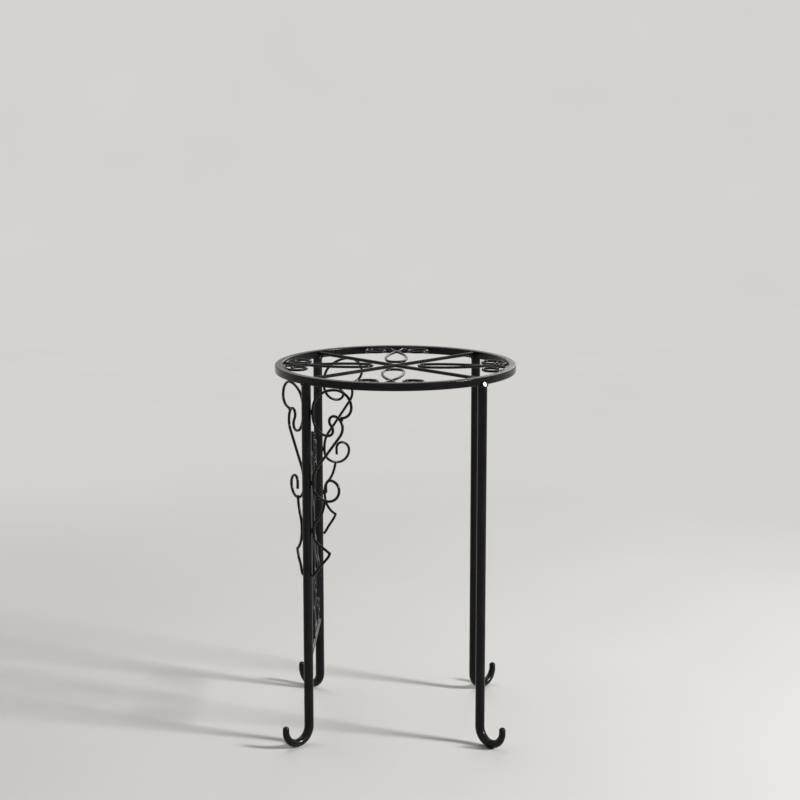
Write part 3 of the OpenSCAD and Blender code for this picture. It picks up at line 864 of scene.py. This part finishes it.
class RACK_OT_side_panel(bpy.types.Operator):
    """Build the panel between the left legs: rail, stem, big scrolls and heart"""
    bl_idname = "rack.side_panel"
    bl_label = "Side panel"

    def execute(self, context):
        s = sizes()
        r, axes = s.wire_diameter / 2, panel_plane()
        end = panel_span()[1] - s.leg_diameter / 2
        rail = wire_skin([[-end, 0, 0], [end, 0, 0]], s.rail_diameter / 2, 28, axes, steps=30)
        piece("panel_rail", [rail], coat("powder coat on wire"), ["side_rail"])
        # The stem starts a little inside the rail, and ends in the middle of its ball
        ball, sunk, rows = s.ball_diameter / 2, 0.6, 20
        start, top = s.rail_diameter / 2 - sunk, STEM_BOX[1][2] - s.rail_height - ball
        stem = wire_skin([[0, start, 90], [0, top, 90]], r, 20, axes, steps=40)
        b = np.linspace(-np.pi / 2, np.pi / 2, rows)
        sphere = tube(np.stack([np.zeros(rows), top + ball * np.sin(b)], 1),
                      np.full(rows, 90.0), ball * np.cos(b).clip(0), 28)
        piece("panel_stem", [stem, skin(place(sphere, *axes))], coat("powder coat on wire"),
              ["side_stem"])
        for name, turned in {"rear": np.asarray, "front": mirrored}.items():
            for label, node, knots in (("panel_scroll_", "side_scroll_", panel_knots()),
                                       ("panel_heart_", "side_heart_", heart_knots())):
                piece(label + name, [wire_skin(turned(knots), r, s.wire_sides, axes)],
                      coat("powder coat on wire"), [node + name])
        return {"FINISHED"}


def leg_welds():
    """Heaps and fillets of weld at the legs' tops, with one tack on the ring."""
    s = sizes()
    under = s.stand_height - s.ring_height
    # A heap of weld: half its length, its half width and half height, and how far its middle
    # lies out from the ring's bar and over its underside.  The one inside the ring is smaller.
    long, wide, high, proud = 4.6, 2.5, 1.6, 0.3
    # A fillet of weld round the leg: its section's radius, and how far the section's middle
    # lies under the ring and inside the leg's face
    fillet, under_ring, in_leg = 0.95, 0.25, 0.1
    skins = []
    for k, azimuth in enumerate(LEG_ANGLES.values()):
        x, across, middle = unit(azimuth), unit(azimuth + 90), leg_spot(azimuth)
        for side, size in ((1, 1.0), (-1, 0.85)):
            out = middle + side * (s.ring_width / 2 + proud) * x
            skins.append(lump((*out, under + proud), (*across, 0), (0, 0, 1), long * size,
                              (wide * size, high * size), ripples=5, phase=0.7 * k))
        skins.append(collar_ring((*middle, under - under_ring), azimuth,
                                 s.leg_diameter / 2 - in_leg, fillet, ripples=19, seed=1.3 * k))
    # The last tack of the front right leg was pressed flat while it was soft.  Its face looks
    # halfway between the camera and the key lamp, so it glints.
    out = (s.ring_outside / 2 + 1.1) * unit(FRONT_RIGHT - 1.3)
    skins.append(tack((*out, under + 1.0), facing=(0.50, -0.78, 0.36), up=(0, 0, 1),
                      radii=(5.2, 6.0), thickness=3.6))
    return skins


def seat_beads(azimuth, origin, height, apart, out):
    """Beads in both grooves between a leg and the wire that runs up it.

    A bead's middle lies out past the leg's face, and apart degrees round the leg to a side of
    the wire.
    """
    spot = np.asarray(origin) + [0, 0, height - STRAIGHT / 2]
    ways = [np.append(unit(azimuth + side * apart), 0) for side in (-1, 1)]
    return [lump(spot + way * (sizes().leg_diameter / 2 + out), (0, 0, 1), way,
                 STRAIGHT / 2 + 0.3, (1.0, 1.15), ripples=4, rows=16, columns=14,
                 phase=height - STRAIGHT / 2) for way in ways]


def wing_welds(wing):
    """Beads at a wing's three seats, and one in the notch under its loop's end."""
    x, up, origin = wing_plane(wing)
    azimuth = wing_azimuth(wing)
    lean = math.degrees(math.asin(wing.aside / (touch() + WELD_GAP)))
    skins = []
    for height, way in ((LOOP_SEAT, azimuth), (strand_seat(wing.low), azimuth),
                        (TAIL_SEAT, azimuth + lean)):
        skins += seat_beads(way, origin, height, apart=8, out=0.8)
    # The bead in the notch slopes down and out by 25 degrees
    notch = np.array([LOOP_END[0] + 0.4, LOOP_END[1] - sizes().wire_diameter / 2 - 0.1, 0])
    along = place(np.append(unit(-25), 0), x, up, (0, 0, 0))
    skins.append(lump(place(notch, x, up, origin), along, (0, 0, 1), half_length=2.6,
                      radii=(1.5, 1.2), ripples=2, rows=16, columns=14))
    return skins


def panel_welds():
    """Beads where the big panel scrolls come to their legs."""
    s = sizes()
    azimuth = panel_span()[2]
    height = s.rail_height + PANEL_SEAT - (s.stand_height - s.ring_height)
    skins = []
    for leg, way in ((FRONT_LEFT, azimuth), (REAR_LEFT, azimuth + 180)):
        skins += seat_beads(way, leg_plane(leg, way)[2], height, apart=19, out=0.45)
    return skins


class RACK_OT_welds(bpy.types.Operator):
    """Build the weld beads at the joints"""
    bl_idname = "rack.welds"
    bl_label = "Welds"

    def execute(self, context):
        weld = coat("powder coat on weld")
        piece("leg_weld_beads", leg_welds(), weld, ["leg_welds"])
        piece("wing_weld_beads", [part for wing in WINGS.values() for part in wing_welds(wing)],
              weld, ["wing_welds"])
        piece("panel_weld_beads", panel_welds(), weld, ["side_welds"])
        return {"FINISHED"}


class Lamp(NamedTuple):
    """A round studio lamp."""
    name: str
    spot: tuple  # its place, in metres
    aim: tuple  # the place that it faces, in metres
    watts: float
    size: float  # its diameter, in metres


# The key lamp throws the shadows to the left, the overhead one lights what looks up, the one at
# the far side draws pale edges on bars, and the fill opens the darkest sides a little
LAMPS = (Lamp("key", (3.4, -1.2, 2.0), (0, 0, 0.25), 210, 0.8),
         Lamp("overhead", (-0.6, 0.9, 3.2), (0, 0.3, 0.2), 38, 2.4),
         Lamp("far side", (0.95, 4.2, 1.85), (0, 0, 0.4), 17, 1.4),
         Lamp("fill", (-2.4, -2.2, 1.4), (0, 0, 0.25), 3, 1.4))

# The camera at the photograph's viewing angle: its place in metres, the lens in millimetres, and
# in degrees its tilt down from level and its turn to the left
CAMERA_SPOT, LENS, TILT, TURN = (0.0361, -2.4145, 0.8648), 85.48, 10.264, 0.718


def paper_sweep():
    """Mesh of the floor, a quarter round and the backdrop in one sheet, in metres.

    Its profile, y across the floor and z up, is carried along x.
    """
    half_width, front, level_end, bend, top = 6.0, -6.0, 3.4, 1.2, 6.0
    quarter = np.radians(np.linspace(0, 90, 24))
    y = np.concatenate([[front, -3, 0, 1.5, 3], level_end + bend * np.sin(quarter),
                        [level_end + bend]])
    z = np.concatenate([np.zeros(5), bend - bend * np.cos(quarter), [top]])
    x = np.linspace(-half_width, half_width, 13)
    grid = np.stack(np.broadcast_arrays(x[None, :], y[:, None], z[:, None]), -1)
    rows, columns = grid.shape[:2]
    i, j = np.arange(rows - 1)[:, None], np.arange(columns - 1)[None, :]
    a = (i * columns + j).ravel()
    faces = np.stack([a, a + 1, a + columns + 1, a + columns], 1)
    mesh = bpy.data.meshes.new("paper_sweep")
    mesh.from_pydata(grid.reshape(-1, 3).tolist(), [], faces.tolist())
    mesh.polygons.foreach_set("use_smooth", np.ones(len(faces), bool))
    return mesh


class RACK_OT_stage(bpy.types.Operator):
    """Build the studio: floor and backdrop, lamps and camera"""
    bl_idname = "rack.stage"
    bl_label = "Studio"

    def execute(self, context):
        scene = context.scene
        mesh = paper_sweep()
        mesh.materials.append(painted_paper("grey studio paper"))
        sweep = bpy.data.objects.new("paper_sweep", mesh)
        scene.collection.objects.link(sweep)
        scene.world = studio_air("studio air")
        for lamp in LAMPS:
            source = bpy.data.lights.new(lamp.name, "AREA")
            source.energy, source.size, source.shape = lamp.watts, lamp.size, "DISK"
            light = bpy.data.objects.new(lamp.name, source)
            light.location = lamp.spot
            way = np.array(lamp.aim) - np.array(lamp.spot)
            # The lamp looks down its own -z; this turns that to the way it aims
            light.rotation_euler = (math.acos(-way[2] / np.linalg.norm(way)), 0,
                                    math.atan2(way[1], way[0]) - math.pi / 2)
            scene.collection.objects.link(light)
        eye = bpy.data.cameras.new("camera")
        eye.sensor_fit, eye.sensor_width, eye.lens = "HORIZONTAL", 36.0, LENS
        camera = bpy.data.objects.new("camera", eye)
        camera.location = CAMERA_SPOT
        camera.rotation_euler = (math.radians(90 - TILT), 0, math.radians(TURN))
        scene.collection.objects.link(camera)
        scene.camera = camera
        scene.view_settings.view_transform = "Standard"
        return {"FINISHED"}


class RACK_PT_sidebar(bpy.types.Panel):
    """Sidebar panel that lists the rack's sizes and steps"""
    bl_label = "Plant Rack"
    bl_idname = "RACK_PT_sidebar"
    bl_space_type = "VIEW_3D"
    bl_region_type = "UI"
    bl_category = "Plant Rack"

    def draw(self, context):
        for group in (context.scene.rack_sizes, context.scene.rack_colours):
            for name in group.__annotations__:
                self.layout.prop(group, name)
        for step in STEPS:
            self.layout.operator(step.bl_idname)


STEPS = (RACK_OT_stage, RACK_OT_ring, RACK_OT_tray, RACK_OT_legs, RACK_OT_wings,
         RACK_OT_side_panel, RACK_OT_welds)
CLASSES = (RackSizes, RackColours, *STEPS, RACK_PT_sidebar)


def register():
    """Adds the classes to Blender, and the two groups of settings to its scenes."""
    for cls in CLASSES:
        bpy.utils.register_class(cls)
    bpy.types.Scene.rack_sizes = PointerProperty(type=RackSizes)
    bpy.types.Scene.rack_colours = PointerProperty(type=RackColours)


def unregister():
    """Takes away what register added, in the other order."""
    del bpy.types.Scene.rack_colours
    del bpy.types.Scene.rack_sizes
    for cls in reversed(CLASSES):
        bpy.utils.unregister_class(cls)


def main():
    """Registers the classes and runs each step."""
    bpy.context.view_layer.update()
    register()
    for step in STEPS:
        group, name = step.bl_idname.split(".")
        getattr(getattr(bpy.ops, group), name)()


if __name__ == "__main__":
    main()
